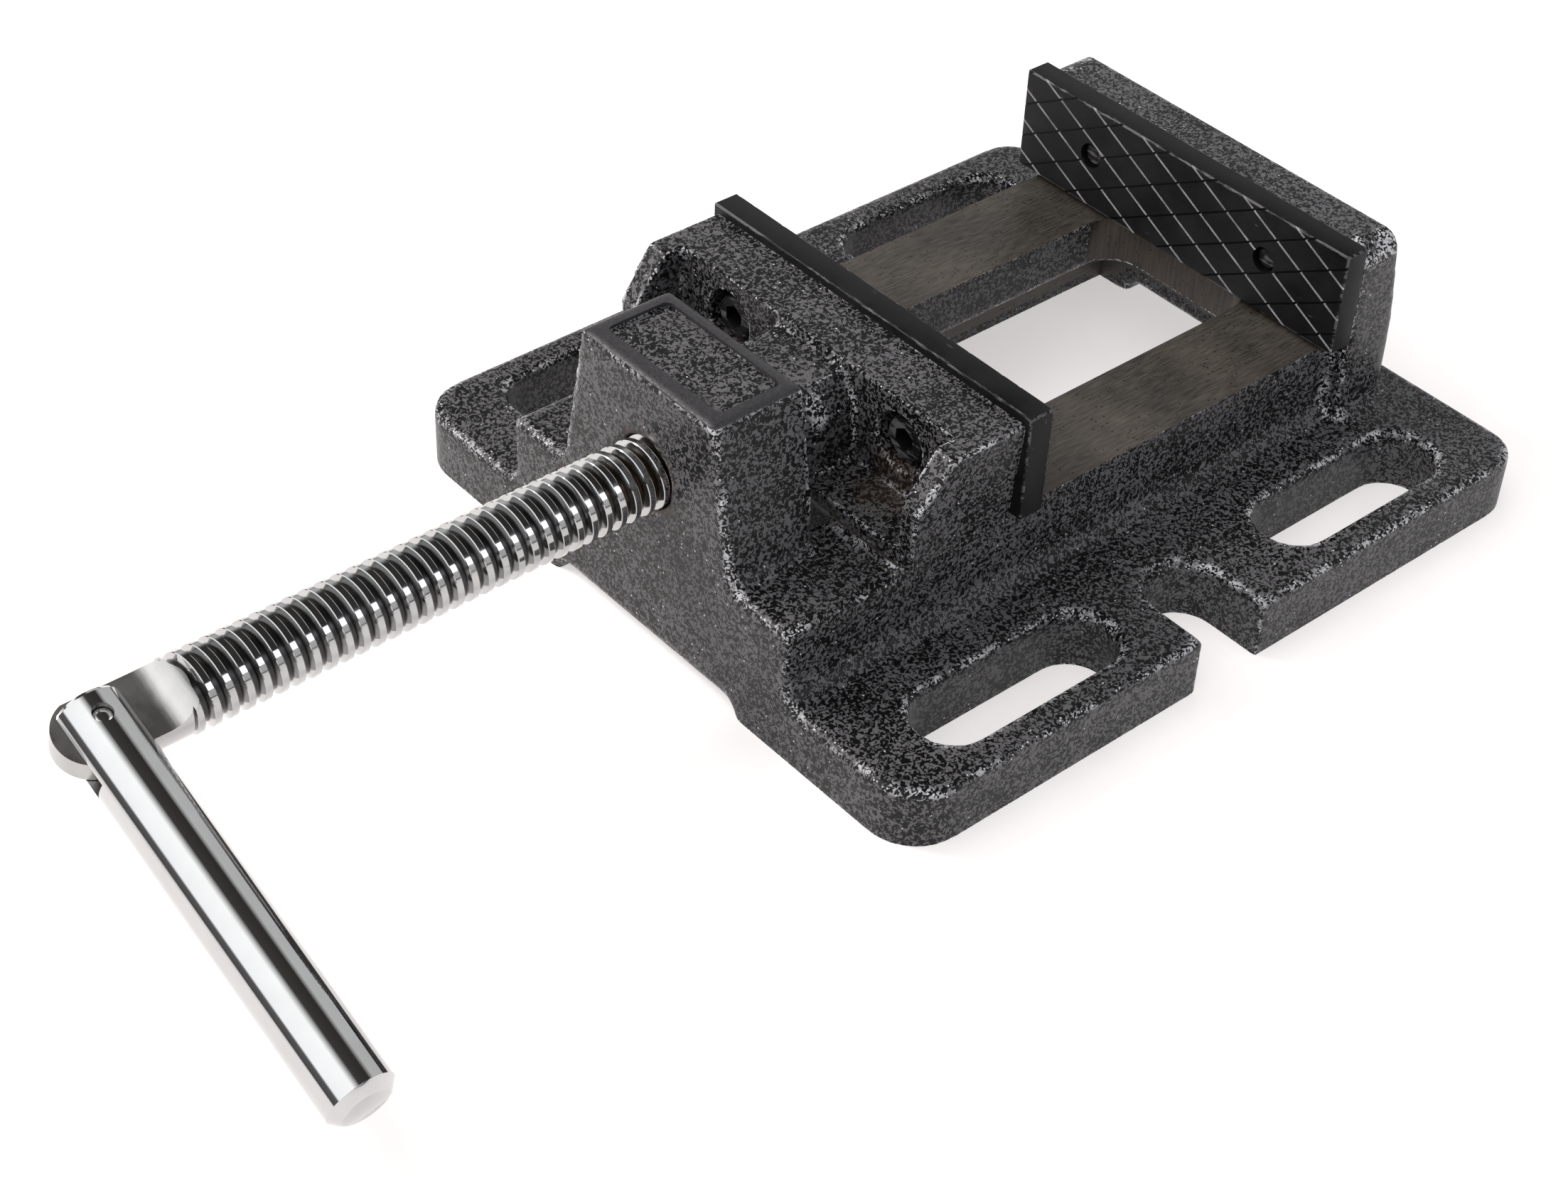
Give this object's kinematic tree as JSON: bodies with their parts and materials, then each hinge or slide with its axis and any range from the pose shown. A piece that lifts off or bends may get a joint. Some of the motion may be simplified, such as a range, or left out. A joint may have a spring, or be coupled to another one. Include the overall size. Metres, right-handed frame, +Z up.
{
  "type": "machine vise",
  "caption": "Low machine vise: slotted base with fixed jaw and nut boss, keeper-held sliding jaw with steel plates, lead screw with a folding bar handle.",
  "frame": {"origin": "on the table plane at the centre of the four table slots", "axes": "+X along the lead screw towards the fixed jaw, +Y to the left seen from the handle, +Z up off the table"},
  "size_m": [0.3218, 0.168, 0.0692],
  "materials": {
    "hammertone_paint": "grey hammertone speckle paint over cast iron, ground bare on the ways",
    "black_oxide": "black oxide on ground steel",
    "bright_chrome": "bright chrome plate",
    "plain_steel": "oiled plain steel"
  },
  "bodies": {
    "base": {"base_casting": "hammertone_paint", "fixed_jaw_plate": "black_oxide", "fixed_jaw_screw_left": "black_oxide", "fixed_jaw_screw_right": "black_oxide"},
    "sliding_jaw": {"moving_jaw": "hammertone_paint", "moving_jaw_plate": "black_oxide", "moving_jaw_screw_left": "black_oxide", "moving_jaw_screw_right": "black_oxide", "keeper_plate": "plain_steel", "keeper_bolt_front": "plain_steel", "keeper_bolt_rear": "plain_steel", "keeper_washer_front": "plain_steel", "keeper_washer_rear": "plain_steel", "nose_pin_left": "plain_steel", "nose_pin_right": "plain_steel", "thrust_washer": "plain_steel"},
    "screw": {"lead_screw": "bright_chrome", "handle_pin": "bright_chrome"},
    "bar": {"handle": "bright_chrome"}
  },
  "joints": [
    {"name": "jaw_slide", "type": "slide", "parent": "base", "child": "sliding_jaw", "axis": [1, 0, 0], "range_m": [0, 0.0891]},
    {"name": "screw_turn", "type": "hinge", "parent": "sliding_jaw", "child": "screw", "pos_m": [0, 0, 0.0454], "axis": [1, 0, 0], "range_deg": [0, 8910]},
    {"name": "handle_fold", "type": "hinge", "parent": "screw", "child": "bar", "pos_m": [-0.2184, 0, 0.0454], "axis": [0, 0.309, -0.9511], "range_deg": [0, 180]}
  ],
  "couplings": [
    {"joint": "jaw_slide", "follows": "screw_turn", "m_per_rad": 0.00057295}
  ]
}
